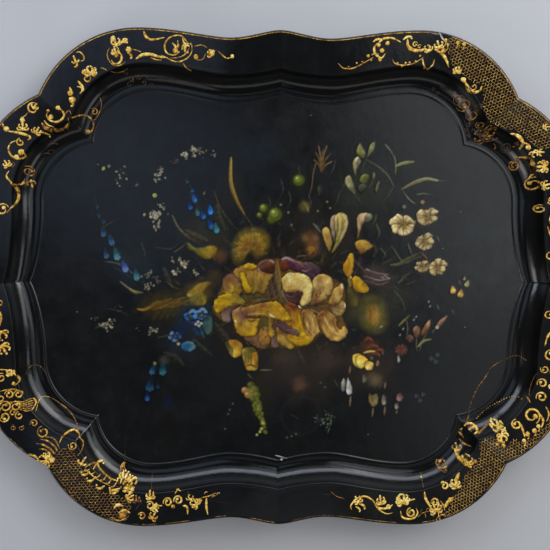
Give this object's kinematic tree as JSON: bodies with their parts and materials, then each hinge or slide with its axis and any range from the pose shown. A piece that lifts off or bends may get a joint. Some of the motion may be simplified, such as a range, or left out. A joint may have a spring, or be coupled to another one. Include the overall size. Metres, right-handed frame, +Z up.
{
  "type": "painted serving tray",
  "caption": "Large shaped serving tray of black-lacquered sheet steel with a rolled, wire-stiffened edge, gilt scrollwork and a painted bouquet.",
  "frame": {"origin": "centre of the underside of the well, on the surface the tray rests on", "axes": "+X along the tray's long side, +Y towards the top of the painted picture, +Z up, out of the well"},
  "size_m": [0.78, 0.628, 0.036],
  "materials": {
    "black_lacquer": "polished black oil lacquer, slightly dulled and scratched in the well",
    "steel_wire": "plain drawn steel wire",
    "gilding": "gold leaf and shell gold line work under varnish",
    "oil_paint": "translucent oil colours laid in brush strokes under varnish"
  },
  "bodies": {
    "root": {"tray_pan": "black_lacquer", "rim_wire": "steel_wire"}
  },
  "joints": []
}
